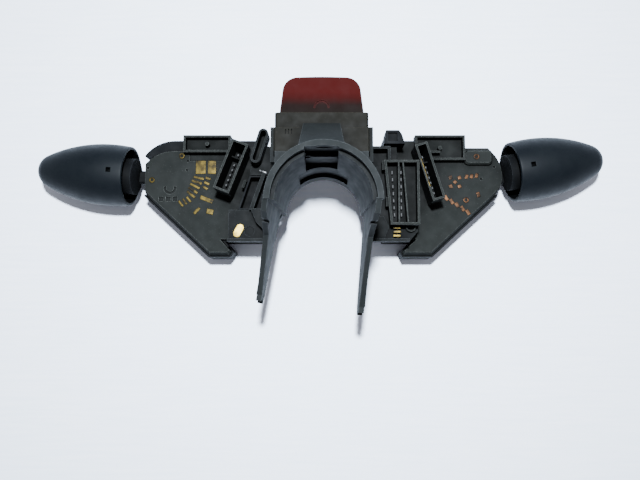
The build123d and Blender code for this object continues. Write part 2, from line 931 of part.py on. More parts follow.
def in_socket(side, shape, across, along, level):
    """A shape stood at a place in the shroud, whose far end leans towards the column."""
    u, y, _, _, angle = socket_place(side)
    return Location((u, y, 0), (0, 0, angle)) * (Location((across, along, level)) * shape)


def standing(width, length, height):
    return Box(width, length, height, align=(Align.CENTER, Align.CENTER, Align.MIN))


def socket_block(side, inset, z0, z1):
    _, _, width, length, _ = socket_place(side)
    return in_socket(side, standing(width - 2 * inset, length - 2 * inset, z1 - z0), 0, 0, z0)


def socket_shroud(side):
    """Upright shroud with a low cross tongue, and on the right a seat for the blade in its inner wall."""
    shroud = socket_block(side, 0, lid_top - overlap, socket_rim)
    shroud -= socket_block(side, socket_wall, lid_top, socket_rim + 1)
    _, _, width, _, _ = socket_place(side)
    tongue = standing(width - socket_wall, pin_width, socket_tongue_top - lid_top)
    shroud += in_socket(side, tongue, 0, socket_tongue_place, lid_top)
    return shroud if side == "left" else shroud - socket_blade()


def socket_blade():
    """Strip let into the right shroud's inner wall, flush with it."""
    across = socket_wall - right_socket_width / 2 - socket_blade_thickness / 2
    strip = standing(socket_blade_thickness, socket_blade_length, socket_rim - lid_top)
    return in_socket("right", strip, across, 0, lid_top)


def pocket(side):
    """Open-topped tray along the lid's upper edge, with a post and on the right a bar in it."""
    if side == "left":
        inner, outer, low = left_pocket_inner, left_pocket_outer, left_pocket_low
    else:
        inner, outer, low = right_pocket_inner, right_pocket_outer, right_pocket_low
    base = lid_top - lid_thickness
    tray = span(inner, outer, low, pocket_top, base, pocket_rim)
    wall = pocket_wall
    tray -= span(inner + wall, outer - wall, low + wall, pocket_top - wall, lid_top, pocket_rim + 1)
    middle = (inner + outer) / 2
    tray += rod(middle, (low + pocket_top) / 2, lid_top - overlap, pocket_rim - overlap, pocket_post_radius)
    if side == "right":
        bar_low = low + recess_height
        tray += span(inner, middle, bar_low, bar_low + wall, lid_top - overlap, pocket_rim)
    return tray


def lid_marks(side):
    """Blind locating holes, and on the left an arc groove, test slots and a shallow recess."""
    cuts = Part()
    for u, y in left_hole_places if side == "left" else right_hole_places:
        cuts += rod(u, y, lid_top - mark_depth, lid_top + 1, eyelet_bore)
    if side == "left":
        outer = groove_radius + groove_width / 2
        ring = rod(groove_u, groove_y, lid_top - mark_depth, lid_top + 1, outer)
        ring -= rod(groove_u, groove_y, lid_top - 2, lid_top + 2, outer - groove_width)
        reach, low = 2 * groove_radius, lid_top - mark_depth
        lower = span(groove_u - reach, groove_u + reach, groove_y - reach, groove_y + 1, low, lid_top + 1)
        cuts += ring & lower
        for index in range(3):
            u = slot_u + slot_pitch * index
            cuts += span(u, u + slot_width, slot_y, slot_y + slot_height, lid_top - mark_depth, lid_top + 1)
        inner, outer = left_pocket_inner + recess_height, left_pocket_outer - slot_width
        low = left_pocket_low - recess_height
        cuts += span(inner, outer, low, left_pocket_low, lid_top - dimple_depth, lid_top + 1)
    return cuts


def guide_block():
    """Raised block at the right module's outer end."""
    plan = RectangleRounded(guide_block_length, guide_block_width, guide_block_corner)
    block = extrude(plan, guide_block_height + overlap)
    block = chamfer(block.faces().sort_by(Axis.Z)[-1].edges(), guide_block_slope)
    return Location((guide_block_u, guide_block_y, lid_top - overlap)) * block


def contact_plate(side):
    """Lid with a skirt and a sloped outer edge, carrying the pocket and the connector shroud."""
    lid = lid_layer(side, split_level, lid_top, assembly_gap)
    foot_outer = left_foot_outer if side == "left" else right_foot_outer
    top = lid.faces().sort_by(Axis.Z)[-1]
    rim = top.edges()
    low_rim = [edge for edge in rim if edge.center().Y < pivot_y - right_end_half - lip_thickness]
    sloped = [edge for edge in low_rim if edge.center().X > foot_outer - edge_slope_width]
    sloped += [edge for edge in low_rim if edge.center().Y < foot_corner_y - lip_thickness]
    lid = chamfer(sloped, edge_slope_width, edge_slope_height, reference=top)
    under = lid_top - lid_thickness
    lid -= lid_layer(side, split_level - 1, under, assembly_gap, module_wall)
    lid -= mouth(split_level - 1, under)
    boss_low = carrier_high + assembly_gap
    lid += rod(pivot_u, pivot_y, boss_low, under + overlap, journal_boss_radius)
    lid -= rod(pivot_u, pivot_y, boss_low - 1, under, journal_radius + running_clearance)
    for u, y in boss_places(side):
        lid += rod(u, y, split_level + running_clearance, lid_top - overlap, boss_radius)
        lid -= rod(u, y, split_level - 1, lid_top + 1, screw_radius + running_clearance)
    lid += pocket(side) - socket_block(side, 0, under - 1, socket_rim)
    lid += socket_shroud(side)
    if side == "left":
        post = standing(key_post_width, key_post_length, key_post_top - lid_top + overlap)
        lid += Location((key_post_u, key_post_y, lid_top - overlap), (0, 0, left_socket_angle)) * post
    else:
        lid += guide_block()
    return sided(lid - lid_marks(side), side)


def pad(u, y, width, length, angle):
    return Location((u, y, lid_top), (0, 0, angle)) * standing(width, length, pad_height)


def pad_rows(rows):
    """Rows of equal pads at even steps, each turned a little further than the last."""
    pads = []
    for start, step, count, size, angle, turn in rows:
        for index in range(count):
            u, y = start[0] + step[0] * index, start[1] + step[1] * index
            pads.append(pad(u, y, size[0], size[1], angle + turn * index))
    return pads


def left_tracks():
    """Brass pads: two wide ones for dip and flash, stripes for turn, and bars below them."""
    return Compound(children=[sided(piece, "left") for piece in pad_rows(left_pad_rows)])


def right_tracks():
    """Copper pads: a star, a short row above it and a falling row below."""
    pads = [pad(star_u, star_y, star_pad, star_pad, 45)]
    for u_sign in (-1, 1):
        for y_sign in (-1, 1):
            place = (star_u + u_sign * star_reach, star_y + y_sign * star_reach)
            pads.append(pad(*place, star_pad, star_pad, star_lean))
    return Compound(children=pads + pad_rows(right_pad_rows))


def ring_at(u, y, base):
    ring = rod(u, y, base, base + eyelet_height, eyelet_radius)
    return ring - rod(u, y, base - 1, base + 1, eyelet_bore)


def eyelets(side):
    """Tubular rivets on the lid, and on the right one on the guide block."""
    if side == "left":
        rings = [ring_at(u, y, lid_top) for u, y in left_eyelet_places]
    else:
        top = lid_top + guide_block_height
        rings = [ring_at(*right_eyelet_place, lid_top)]
        rings.append(ring_at(guide_block_u - block_eyelet_shift, guide_block_y, top))
    return Compound(children=[sided(ring, side) for ring in rings])


def horn_pad():
    """Oval contact on the left wing's deck."""
    disc = extrude(SlotOverall(oval_pad_length, oval_pad_width), pad_height)
    place = Location((oval_pad_u, oval_pad_y, deck_thickness), (0, 0, 90 + oval_pad_angle))
    return sided(place * disc, "left")


def socket_pins(side):
    """Two rows of blades in the shroud, standing on the lid."""
    _, _, _, length, _ = socket_place(side)
    count = int((length - 2 * (socket_wall + pin_margin)) / pin_pitch)
    pins = []
    for row in (-pin_row_spacing / 2, pin_row_spacing / 2):
        for index in range(count):
            along = (index - (count - 1) / 2) * pin_pitch
            if abs(along - socket_tongue_place) > 2 * pin_width:
                blade = standing(pin_width, pin_width * 1.6, pin_height)
                pins.append(sided(in_socket(side, blade, row, along, lid_top), side))
    return Compound(children=pins)


# Carrier, detent, lever


def across_pivot(u, z, reach, radius):
    """Cylinder along Y through the stalk's centre line."""
    return rod_between((u, pivot_y - reach, z), (u, pivot_y + reach, z), radius)


def swing_carrier(side):
    """Hub on the case's journals, fork for the lever and tail for the detent."""
    carrier = rod(pivot_u, pivot_y, carrier_low, carrier_high, hub_radius)
    top = lid_top - lid_thickness - assembly_gap
    carrier += rod(pivot_u, pivot_y, carrier_low - journal_length, top, journal_radius)
    arm_low = carrier_low + fork_lift
    for sign in (-1, 1):
        y0, y1 = pivot_y + sign * fork_inner, pivot_y + sign * fork_outer
        carrier += span(pivot_u, pivot_u + fork_reach, y0, y1, arm_low, carrier_high)
    pin_u, pin_level = pivot_u + tilt_pin_offset, (lever_low + lever_high) / 2
    carrier -= across_pivot(pin_u, pin_level, fork_outer + 1, tilt_pin_radius + running_clearance)
    end, half = pivot_u - tail_length, tail_half_width
    carrier += span(end, pivot_u, pivot_y - half, pivot_y + half, arm_low, carrier_high)
    bore_start = (end - 1, pivot_y, detent_axis_z)
    bore_end = (end + detent_bore_depth, pivot_y, detent_axis_z)
    return sided(carrier - rod_between(bore_start, bore_end, plunger_nose_radius + running_clearance), side)


def plunger_tip():
    """Outward place of the detent plunger's nose, seated in a notch."""
    return pivot_u - detent_radius + detent_engagement


def detent_plunger(side):
    """Pin with a cone nose."""
    plane = Plane(origin=(plunger_tip(), pivot_y, detent_axis_z), z_dir=(1, 0, 0))
    align = (Align.CENTER, Align.CENTER, Align.MIN)
    nose = Cone(plunger_nose_radius / 4, plunger_nose_radius, plunger_nose_length, align=align)
    stem = Cylinder(plunger_nose_radius, plunger_length - plunger_nose_length, align=align)
    return sided(plane * (nose + Location((0, 0, plunger_nose_length)) * stem), side)


def detent_spring(side):
    start = (plunger_tip() + plunger_length, pivot_y, detent_axis_z)
    end = (pivot_u - tail_length + detent_bore_depth, pivot_y, detent_axis_z)
    radius = plunger_nose_radius - 2 * detent_wire_radius
    return sided(coil(start, end, radius, detent_wire_radius, 4), side)


def detent_track(side):
    """Toothed arc on the case floor, centred on the pivot."""
    low, high = case_floor + floor_thickness, detent_axis_z + 4
    ring = rod(pivot_u, pivot_y, low, high, detent_radius + detent_thickness)
    ring -= rod(pivot_u, pivot_y, low - 1, high + 1, detent_radius)
    reach, half = detent_radius + overlap, detent_half_width
    start, end = pivot_u - 2 * detent_radius, pivot_u - detent_radius / 2
    window = span(start, end, pivot_y - half, pivot_y + half, low, high)
    track = ring & window
    if side == "left":
        angles = [-left_detent_step, 0, left_detent_step]
    else:
        angles = [right_detent_step * step for step in (-1, 0, 1, 2, 3)]
    for angle in angles:
        u = pivot_u - reach * cos(radians(angle))
        y = pivot_y - reach * sin(radians(angle))
        track -= rod(u, y, low - 1, high + 1, detent_dip_radius)
    return sided(track, side)


def track_wiper(side):
    """Sprung fingers on the carrier's tail that sweep under the lid."""
    base = carrier_high
    start, half = pivot_u - tail_length + 2, wiper_width / 2
    plate = span(start, start + wiper_length, pivot_y - half, pivot_y + half, base, base + wiper_thickness)
    for row in (-1, 0, 1):
        low = pivot_y + row * wiper_pitch - finger_width / 2
        plate += span(start + overlap, start + 2, low, low + finger_width, base, base + finger_height)
    return sided(plate, side)


def tilt_pin(side):
    level = (lever_low + lever_high) / 2
    return sided(across_pivot(pivot_u + tilt_pin_offset, level, fork_outer, tilt_pin_radius), side)


def barrel_plane(side):
    """Plane at the barrel's open mouth; its normal runs along the barrel."""
    if side == "left":
        u, y, angle = left_mouth_u, left_mouth_y, radians(left_barrel_angle)
    else:
        u, y, angle = right_mouth_u, right_mouth_y, radians(right_barrel_angle)
    level, drop = cos(radians(barrel_droop)), sin(radians(barrel_droop))
    along = (cos(angle) * level, sin(angle) * level, -drop)
    return Plane(origin=(u, y, barrel_axis_z), x_dir=(-sin(angle), cos(angle), 0), z_dir=along)


def along_barrel(radius, start, end):
    align = (Align.CENTER, Align.CENTER, Align.MIN)
    return Location((0, 0, start)) * Cylinder(radius, end - start, align=align)


def lever(side):
    """Neck from the tilt pin into the barrel, with a collar, a flange and the barrel's spindle."""
    plane = barrel_plane(side)
    level = (lever_low + lever_high) / 2
    back = pivot_u + hub_radius + lever_back_gap
    neck_end = plane.origin.X + flange_start
    half = lever_half_width
    neck = span(back, neck_end, pivot_y - half, pivot_y + half, lever_low, lever_high)
    neck = chamfer(neck.edges().filter_by(Axis.X), lever_corner)
    neck -= across_pivot(pivot_u + tilt_pin_offset, level, fork_outer, tilt_pin_radius + running_clearance)
    core = along_barrel(collar_radius, collar_start, flange_start + overlap)
    core += along_barrel(flange_radius, flange_start, flange_start + flange_thickness)
    core += along_barrel(spindle_radius, flange_start, spindle_end)
    return sided(neck + plane * core, side)


def side_radius(place):
    """Barrel's outer radius on its side arc, at a distance from the mouth."""
    return girth_radius - side_arc_radius + sqrt(side_arc_radius**2 - (place - girth_place) ** 2)


def nose_centre():
    """Distance from the mouth to the nose arc's centre, which lies on the barrel's axis."""
    rise = side_arc_radius - girth_radius
    reach = side_arc_radius - nose_arc_radius
    return girth_place + sqrt(reach**2 - rise**2)


def barrel_skin():
    """Barrel's outer form, its two arcs drawn as short straight runs."""
    join_angle = degrees(atan2(side_arc_radius - girth_radius, nose_centre() - girth_place))
    join_place = nose_centre() + nose_arc_radius * cos(radians(join_angle))
    points = [(0, 0)]
    for index in range(side_runs + 1):
        place = join_place * index / side_runs
        points.append((side_radius(place), place))
    for index in range(1, nose_runs + 1):
        angle = radians(join_angle * (1 - index / nose_runs))
        points.append((nose_arc_radius * sin(angle), nose_centre() + nose_arc_radius * cos(angle)))
    return revolve(Plane.XZ * make_face(Polyline(*points, close=True)), Axis.Z)


def barrel_hollow():
    """Bore in round steps that follow the skin inwards."""
    hollow = Part()
    start = -1
    for depth in hollow_steps:
        hollow += along_barrel(side_radius(depth) - barrel_wall, start, depth)
        start = depth - overlap
    return hollow


def barrel(side):
    """Hollow grip with two hubs on the spindle and a latch window on the dash side."""
    hollow = barrel_hollow()
    hubs = Part()
    for place in hub_places:
        hubs += hollow & along_barrel(2 * girth_radius, place, place + hub_thickness)
    bore = along_barrel(spindle_radius + running_clearance, -1, hollow_steps[-1])
    grip = barrel_skin() - hollow + (hubs - bore)
    window = Box(clip_window_size, girth_radius, clip_window_size)
    window = Location((0, girth_radius, clip_window_place)) * window
    return sided(barrel_plane(side) * (grip - window), side)


def board_top():
    return flange_start + flange_thickness + light_board_thickness


def light_board():
    """Square board on the lever's flange, round the spindle."""
    board = standing(light_board_width, light_board_width, light_board_thickness)
    board = Location((0, 0, board_top() - light_board_thickness)) * board
    board -= along_barrel(spindle_radius + running_clearance, flange_start, board_top() + 1)
    return sided(barrel_plane("left") * board, "left")


def light_rotor():
    """Contact arm over the board, on a sleeve that turns with the barrel."""
    start = board_top() + rotor_gap
    rotor = Location((0, 0, start)) * standing(rotor_length, rotor_width, rotor_thickness)
    rotor += along_barrel(rotor_sleeve_radius, start, hub_places[0])
    rotor -= along_barrel(spindle_radius + running_clearance, start - 1, hub_places[0] + 1)
    return sided(barrel_plane("left") * rotor, "left")


# Main connector, terminals, terminal box and plug


def connector_inner(y):
    """Outward place of the main connector's slanted inner wall."""
    share = (y - connector_low) / (connector_high - connector_low)
    return connector_inner_low + share * (connector_inner_high - connector_inner_low)


def connector_rim_plan():
    low, high = connector_low, connector_high
    corners = [
        (connector_inner(low), low),
        (connector_outer, low),
        (connector_outer, high),
        (connector_inner(high), high),
    ]
    return make_face(Polyline(*corners, close=True))


def main_connector():
    """Shroud on the right wing with a straight and a slanted rib, and two lugs beside it."""
    height = connector_rim - deck_thickness
    rim = connector_rim_plan()
    shell = extrude(rim, height, dir=(0, 0, 1))
    hollow = extrude(offset(rim, -connector_wall, kind=Kind.INTERSECTION), height, dir=(0, 0, 1))
    shell -= Location((0, 0, connector_wall)) * hollow
    middle = (connector_low + connector_high) / 2
    rib = standing(connector_rib, connector_high - connector_low - connector_wall, height - overlap)
    shell += Location((connector_rib_u, middle, overlap)) * rib
    shell += Location((slant_rib_u, middle, overlap), (0, 0, slant_rib_angle)) * rib
    for y in lug_places:
        face = connector_inner(y)
        shell += span(face - lug_width, face + connector_wall, y, y + lug_length, 0, height - lug_drop)
    return Location((0, 0, deck_thickness)) * shell


def main_connector_blades():
    """Two rows of blades, one each side of the straight rib."""
    base = deck_thickness + connector_wall
    count = int((connector_high - connector_low - 2 * connector_wall - blade_width) / blade_pitch)
    middle = (connector_low + connector_high) / 2
    blades = []
    for index in range(count):
        y = middle + (index - (count - 1) / 2) * blade_pitch
        first = (connector_inner(y) + connector_wall + connector_rib_u) / 2
        for u in (first, (connector_rib_u + slant_rib_u) / 2):
            blades.append(Location((u, y, base)) * standing(connector_rib, blade_width, blade_height))
    return Compound(children=blades)


def terminal_bars():
    """Three bars beside the main connector, on the right wing."""
    bars = []
    for index in range(3):
        y = terminal_y + index * terminal_pitch
        bar = standing(terminal_length, terminal_width, terminal_height)
        bars.append(Location((terminal_u, y, deck_thickness)) * bar)
    return Compound(children=bars)


def terminal_box():
    """Open box on the left lid, between the deck and the strip and under the strut."""
    low, high = deck_step_edge + assembly_gap, deck_strip_edge - assembly_gap
    corners = [(box_inner_u, low), (box_outer_low_u, low), (box_outer_high_u, high), (box_inner_u, high)]
    plan = make_face(Polyline(*corners, close=True))
    height = box_top - lid_top
    box = extrude(plan, height, dir=(0, 0, 1))
    room = extrude(offset(plan, -box_wall, kind=Kind.INTERSECTION), height, dir=(0, 0, 1))
    box -= Location((0, 0, box_floor)) * room
    return sided(Location((0, 0, lid_top)) * box, "left")


def side_plug():
    """Plug body that stands on the right lid above the wing's upper edge."""
    corners = [
        (plug_inner_u, plug_low),
        (plug_outer_u, plug_low),
        (plug_bend_u, plug_bend_y),
        (plug_top_outer_u, plug_top_edge),
        (plug_top_inner_u, plug_top_edge),
    ]
    top = lid_top + plug_height
    low, high = plug_low + plug_hollow_wall, plug_top_edge - plug_hollow_wall
    room = span(plug_hollow_inner_u, plug_hollow_outer_u, low, high, top - plug_hollow_depth, top + 1)
    return prism(corners, lid_top, top) - room


# Turn-cancel pawl


def cancel_pawl():
    """Flat rocker on the case's post; its nose reaches out beside the column."""
    nose_u = pawl_nose_u + pawl_nose_radius
    pawl = rod(pawl_u, pawl_y, pawl_low, pawl_high, pawl_eye_radius)
    pawl += rod(nose_u, pawl_y, pawl_low, pawl_high, pawl_nose_radius)
    pawl += span(nose_u, pawl_u, pawl_y - pawl_nose_radius, pawl_y + pawl_nose_radius, pawl_low, pawl_high)
    half = pawl_width / 2
    pawl += span(pawl_u, pawl_u + pawl_tail, pawl_y - half, pawl_y + half, pawl_low, pawl_high)
    pawl -= rod(pawl_u, pawl_y, pawl_low - 1, pawl_high + 1, pawl_post_radius + running_clearance)
    return sided(pawl, "left")


def cancel_spring():
    """Coil between the pawl's tail and the stop on the case floor."""
    start, level = pawl_u + pawl_tail, (pawl_low + pawl_high) / 2
    end = start + pawl_spring_length
    spring = coil((start, pawl_y, level), (end, pawl_y, level), pawl_coil_radius, pawl_wire_radius, 4)
    return sided(spring, "left")


def spring_stop():
    """Post that takes the cancel spring's outer end."""
    start = pawl_u + pawl_tail + pawl_spring_length
    floor, half = case_floor + floor_thickness - overlap, spring_stop_width / 2
    return span(start, start + spring_stop_thickness, pawl_y - half, pawl_y + half, floor, pawl_high)


def build_parts():
    parts = {
        "column_bracket": column_bracket(),
        "bracket_screws": bracket_screws(),
        "hazard_housing": hazard_housing(),
        "hazard_button": hazard_button(),
        "hazard_plunger": hazard_plunger(),
        "hazard_bridge": hazard_bridge(),
        "hazard_contacts": hazard_contacts(),
        "hazard_spring": hazard_spring(),
        "left_tracks": left_tracks(),
        "right_tracks": right_tracks(),
        "horn_pad": horn_pad(),
        "left_terminal_box": terminal_box(),
        "right_side_plug": side_plug(),
        "right_terminal_bars": terminal_bars(),
        "right_socket_blade": socket_blade(),
        "left_light_board": light_board(),
        "left_light_rotor": light_rotor(),
        "main_connector": main_connector(),
        "main_connector_blades": main_connector_blades(),
        "cancel_pawl": cancel_pawl(),
        "cancel_spring": cancel_spring(),
    }
    for side in ("left", "right"):
        parts[side + "_case"] = module_case(side)
        parts[side + "_contact_plate"] = contact_plate(side)
        parts[side + "_eyelets"] = eyelets(side)
        parts[side + "_socket_pins"] = socket_pins(side)
        parts[side + "_swing_carrier"] = swing_carrier(side)
        parts[side + "_detent_plunger"] = detent_plunger(side)
        parts[side + "_detent_spring"] = detent_spring(side)
        parts[side + "_detent_track"] = detent_track(side)
        parts[side + "_wiper"] = track_wiper(side)
        parts[side + "_tilt_pin"] = tilt_pin(side)
        parts[side + "_lever"] = lever(side)
        parts[side + "_barrel"] = barrel(side)
    return parts


os.makedirs("parts", exist_ok=True)
for node, shape in build_parts().items():
    export_step(shape, "parts/" + node + ".step")
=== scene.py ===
import bmesh
import bpy
import json
import math
from mathutils import Matrix, Vector


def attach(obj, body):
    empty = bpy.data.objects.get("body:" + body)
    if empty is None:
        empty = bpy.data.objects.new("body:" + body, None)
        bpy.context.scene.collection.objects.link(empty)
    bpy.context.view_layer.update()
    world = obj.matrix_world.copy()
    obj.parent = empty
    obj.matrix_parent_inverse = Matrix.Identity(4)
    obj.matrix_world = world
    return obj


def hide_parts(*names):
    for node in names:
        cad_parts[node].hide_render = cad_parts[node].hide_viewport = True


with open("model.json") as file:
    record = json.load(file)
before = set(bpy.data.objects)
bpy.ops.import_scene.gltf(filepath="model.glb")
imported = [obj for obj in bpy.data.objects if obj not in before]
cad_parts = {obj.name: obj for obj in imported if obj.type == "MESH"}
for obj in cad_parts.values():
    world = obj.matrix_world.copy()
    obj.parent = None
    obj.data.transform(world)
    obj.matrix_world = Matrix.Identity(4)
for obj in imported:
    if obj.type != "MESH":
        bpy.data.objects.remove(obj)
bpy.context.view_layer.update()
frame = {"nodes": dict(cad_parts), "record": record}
MM = 0.001


# Noise patterns


class Pattern:
    """A noise: scale in one metre, levels of detail, the two levels it fades between, and stretch."""

    def __init__(self, scale, detail, fade=(0.3, 0.7), stretch=(1.0, 1.0, 1.0)):
        self.scale = scale
        self.detail = detail
        self.fade = fade
        self.stretch = stretch


CLOUDS = Pattern(38.0, 5.0, fade=(0.34, 0.68))
STREAKS = Pattern(95.0, 6.0, fade=(0.52, 0.85), stretch=(1.0, 2.4, 1.0))
SPECKS = Pattern(1500.0, 2.0, fade=(0.68, 0.78))
EDGE_BREAKS = Pattern(900.0, 3.0, fade=(0.32, 0.62))
PLASTIC_SHEEN = Pattern(160.0, 5.0)
PLASTIC_GRAIN = Pattern(2600.0, 3.0)
GRIP_GRAIN = Pattern(3600.0, 3.0)
TARNISH = Pattern(240.0, 6.0, fade=(0.35, 0.62))
ROLLING = Pattern(700.0, 4.0, fade=(0.3, 0.75), stretch=(1.0, 12.0, 1.0))
LENS_DRIFT = Pattern(60.0, 3.0)
LENS_SHEEN = Pattern(130.0, 5.0, fade=(0.3, 0.75))
LENS_GRAIN = Pattern(1800.0, 3.0)
BRUSHING = Pattern(26.0, 7.0, fade=(0.3, 0.72), stretch=(1.0, 16.0, 1.0))
BRUSHING_SHEEN_FADE = (0.3, 0.7)


# Recipes: every material is built from these few node steps

# The Mix node has sockets of one name for each kind of data, so the colour ones go by number.
MIX_FACTOR = 0
MIX_FIRST = 6
MIX_SECOND = 7
MIX_RESULT = 2

EDGE_ROUND = 0.55 * MM
EDGE_SAMPLES = 4
EDGE_FADE = (0.86, 0.985)
EDGE_BREAK_SHARE = 0.15
HOLLOW_REACH = 18.0 * MM
HOLLOW_SAMPLES = 6
HOLLOW_FADE = (0.35, 0.9)
TOP_FADE = (0.35, 0.9)


class Recipe:
    """A material's node tree, with helpers that add one step each."""

    def __init__(self, name):
        self.material = bpy.data.materials.new(name)
        self.material.use_nodes = True
        self.tree = self.material.node_tree
        self.shader = self.tree.nodes["Principled BSDF"]
        self.place = self.add("ShaderNodeTexCoord").outputs["Object"]
        self.bevel = self.add("ShaderNodeBevel")
        self.bevel.samples = EDGE_SAMPLES
        self.bevel.inputs["Radius"].default_value = EDGE_ROUND

    def add(self, kind):
        return self.tree.nodes.new(kind)

    def feed(self, socket, value):
        """Sets an input to a number or a colour, or links it to an output."""
        if isinstance(value, float):
            socket.default_value = value
        elif isinstance(value, tuple):
            socket.default_value = (*value, 1.0)
        else:
            self.tree.links.new(value, socket)

    def paint(self, colour):
        self.feed(self.shader.inputs["Base Color"], colour)

    def roughen(self, amount):
        self.feed(self.shader.inputs["Roughness"], amount)

    def noise(self, pattern):
        mapping = self.add("ShaderNodeMapping")
        mapping.inputs["Scale"].default_value = pattern.stretch
        self.feed(mapping.inputs["Vector"], self.place)
        node = self.add("ShaderNodeTexNoise")
        self.feed(node.inputs["Scale"], pattern.scale)
        self.feed(node.inputs["Detail"], pattern.detail)
        self.feed(node.inputs["Vector"], mapping.outputs["Vector"])
        return node.outputs["Fac"]

    def ramp(self, source, stops):
        """Turns a number into a colour; a stop is (position, value), where a number is a grey."""
        node = self.add("ShaderNodeValToRGB")
        elements = node.color_ramp.elements
        while len(elements) < len(stops):
            elements.new(0.5)
        for element, (position, value) in zip(elements, stops):
            colour = value if isinstance(value, tuple) else (value, value, value)
            element.position = position
            element.color = (*colour, 1.0)
        self.feed(node.inputs["Fac"], source)
        return node.outputs["Color"]

    def fade(self, source, span, first, last):
        """Goes from one value to another while the source goes through the span."""
        start, end = span
        return self.ramp(source, [(start, first), (end, last)])

    def patterned(self, pattern, first, last):
        """Goes from one value to another with a noise pattern."""
        return self.fade(self.noise(pattern), pattern.fade, first, last)

    def mix(self, factor, first, second):
        node = self.add("ShaderNodeMix")
        node.data_type = "RGBA"
        self.feed(node.inputs[MIX_FACTOR], factor)
        self.feed(node.inputs[MIX_FIRST], first)
        self.feed(node.inputs[MIX_SECOND], second)
        return node.outputs[MIX_RESULT]

    def calculate(self, operation, first, second):
        node = self.add("ShaderNodeMath")
        node.operation = operation
        self.feed(node.inputs[0], first)
        self.feed(node.inputs[1], second)
        return node.outputs["Value"]

    def along(self, axis):
        """The surface point's place on one axis, in metres."""
        node = self.add("ShaderNodeSeparateXYZ")
        self.feed(node.inputs["Vector"], self.place)
        return node.outputs[axis]

    def edges(self):
        """Bright along edges, where the rounded normal leaves the flat one, with breaks."""
        flat = self.add("ShaderNodeNewGeometry")
        dot = self.add("ShaderNodeVectorMath")
        dot.operation = "DOT_PRODUCT"
        self.feed(dot.inputs[0], self.bevel.outputs["Normal"])
        self.feed(dot.inputs[1], flat.outputs["True Normal"])
        rounded = self.fade(dot.outputs["Value"], EDGE_FADE, 1.0, 0.0)
        broken = self.patterned(EDGE_BREAKS, EDGE_BREAK_SHARE, 1.0)
        return self.calculate("MULTIPLY", rounded, broken)

    def hollows(self):
        """Bright in deep corners and hollows, where little light comes in: the mask of a painted shade
        there.
        """
        node = self.add("ShaderNodeAmbientOcclusion")
        node.samples = HOLLOW_SAMPLES
        self.feed(node.inputs["Distance"], HOLLOW_REACH)
        return self.fade(node.outputs["AO"], HOLLOW_FADE, 1.0, 0.0)

    def tops(self):
        """Bright on faces that look up, where dust settles; side walls get their own streaks instead, in
        a tone of painted shade.
        """
        node = self.add("ShaderNodeSeparateXYZ")
        self.feed(node.inputs["Vector"], self.add("ShaderNodeTexCoord").outputs["Normal"])
        return self.fade(node.outputs["Z"], TOP_FADE, 0.0, 1.0)

    def beyond(self, radius):
        """One outside a radius round the column axis, and nought inside it."""
        flat = self.add("ShaderNodeVectorMath")
        flat.operation = "MULTIPLY"
        flat.inputs[1].default_value = (1.0, 1.0, 0.0)
        self.feed(flat.inputs[0], self.place)
        length = self.add("ShaderNodeVectorMath")
        length.operation = "LENGTH"
        self.feed(length.inputs[0], flat.outputs["Vector"])
        return self.calculate("GREATER_THAN", length.outputs["Value"], radius)

    def bump(self, height, strength, depth):
        node = self.add("ShaderNodeBump")
        self.feed(node.inputs["Strength"], strength)
        self.feed(node.inputs["Distance"], depth)
        self.feed(node.inputs["Height"], height)
        self.feed(node.inputs["Normal"], self.bevel.outputs["Normal"])
        self.feed(self.shader.inputs["Normal"], node.outputs["Normal"])


# Materials

GRAIN_DEPTH = 0.04 * MM
STREAK_STRENGTH = 0.22
SPECK_STRENGTH = 0.5
PLASTIC_BUMP = 0.4
METAL_BUMP = 0.3
# Shares of a plastic's dark or light tone
# The wall share tones the side walls' streaks, a painted shade.
WALL_STREAK_SHADE_SHARE = 1.25
# The bore share darkens the streaks within the bore, a painted shade.
BORE_STREAK_SHADE_SHARE = 0.22
# The shelf share paints shade on the low parts of the bracket.
SHELF_SHADE_SHARE = 0.4
# The hollow share paints shade into hollows.
HOLLOW_SHADE_SHARE = 0.14
# The bracket gets painted shade: darker streaks within this radius of the column axis, and a darker tone
# below this height.
BORE_EDGE = 27.4 * MM
SHELF_LEVEL = 17.0 * MM

# The button's tone changes along Y, from the first of these tones to the last.
LENS_FADE_START = 58.0 * MM
LENS_FADE_LENGTH = 14.0 * MM
LENS_FADE_DRIFT = 4.0 * MM
LENS_TONES = [
    (0.0, (0.0030, 0.0022, 0.0017)),
    (0.4, (0.0044, 0.0018, 0.0015)),
    (0.75, (0.0150, 0.0011, 0.0009)),
    (1.0, (0.0195, 0.0014, 0.0012)),
]
LENS_EDGE_WEAR_AND_HIGHLIGHT = (0.06, 0.014, 0.014)
LENS_SHINE = 0.03
LENS_ROUGH = (0.62, 0.76)
LENS_BUMP = 0.25

FLOOR_TONES = ((0.76, 0.84, 0.97), (0.83, 0.89, 1.0))
FLOOR_ROUGH = (0.55, 0.72)
FLOOR_BUMP = 0.25
BRUSHING_DEPTH = 0.3 * MM


def shade(colour, share):
    return tuple(part * share for part in colour)


